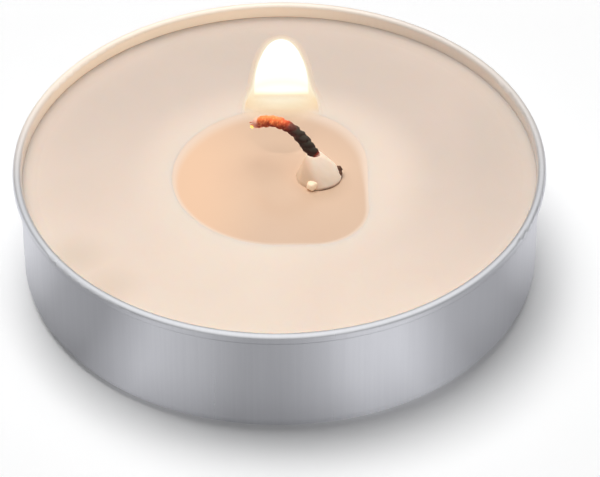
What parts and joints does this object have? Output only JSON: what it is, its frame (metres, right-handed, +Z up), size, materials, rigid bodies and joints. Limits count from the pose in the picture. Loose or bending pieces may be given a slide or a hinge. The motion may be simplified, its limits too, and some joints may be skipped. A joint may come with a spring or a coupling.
{
  "type": "tea light candle",
  "caption": "Low round candle in a drawn aluminium cup with a curled rim, alight: off-centre wick with a curled burnt end, small melted pool and a flame.",
  "frame": {"origin": "on the surface that the cup stands on, at the middle of its resting ring", "axes": "+Z up, -Y towards the front of the picture, +X to the viewer's right; the wick leans to the back left"},
  "size_m": [0.039, 0.039, 0.0197],
  "materials": {
    "cup_aluminium": "satin",
    "solid_wax": "satin",
    "liquid_wax": "gloss",
    "tinplate": "satin",
    "cotton_wick": "matte",
    "flame_glow": "gloss"
  },
  "bodies": {
    "root": {"cup": "cup_aluminium", "wax": "solid_wax", "melted_wax": "liquid_wax", "wick_tab": "tinplate", "wick": "cotton_wick", "flame": "flame_glow"}
  },
  "joints": []
}
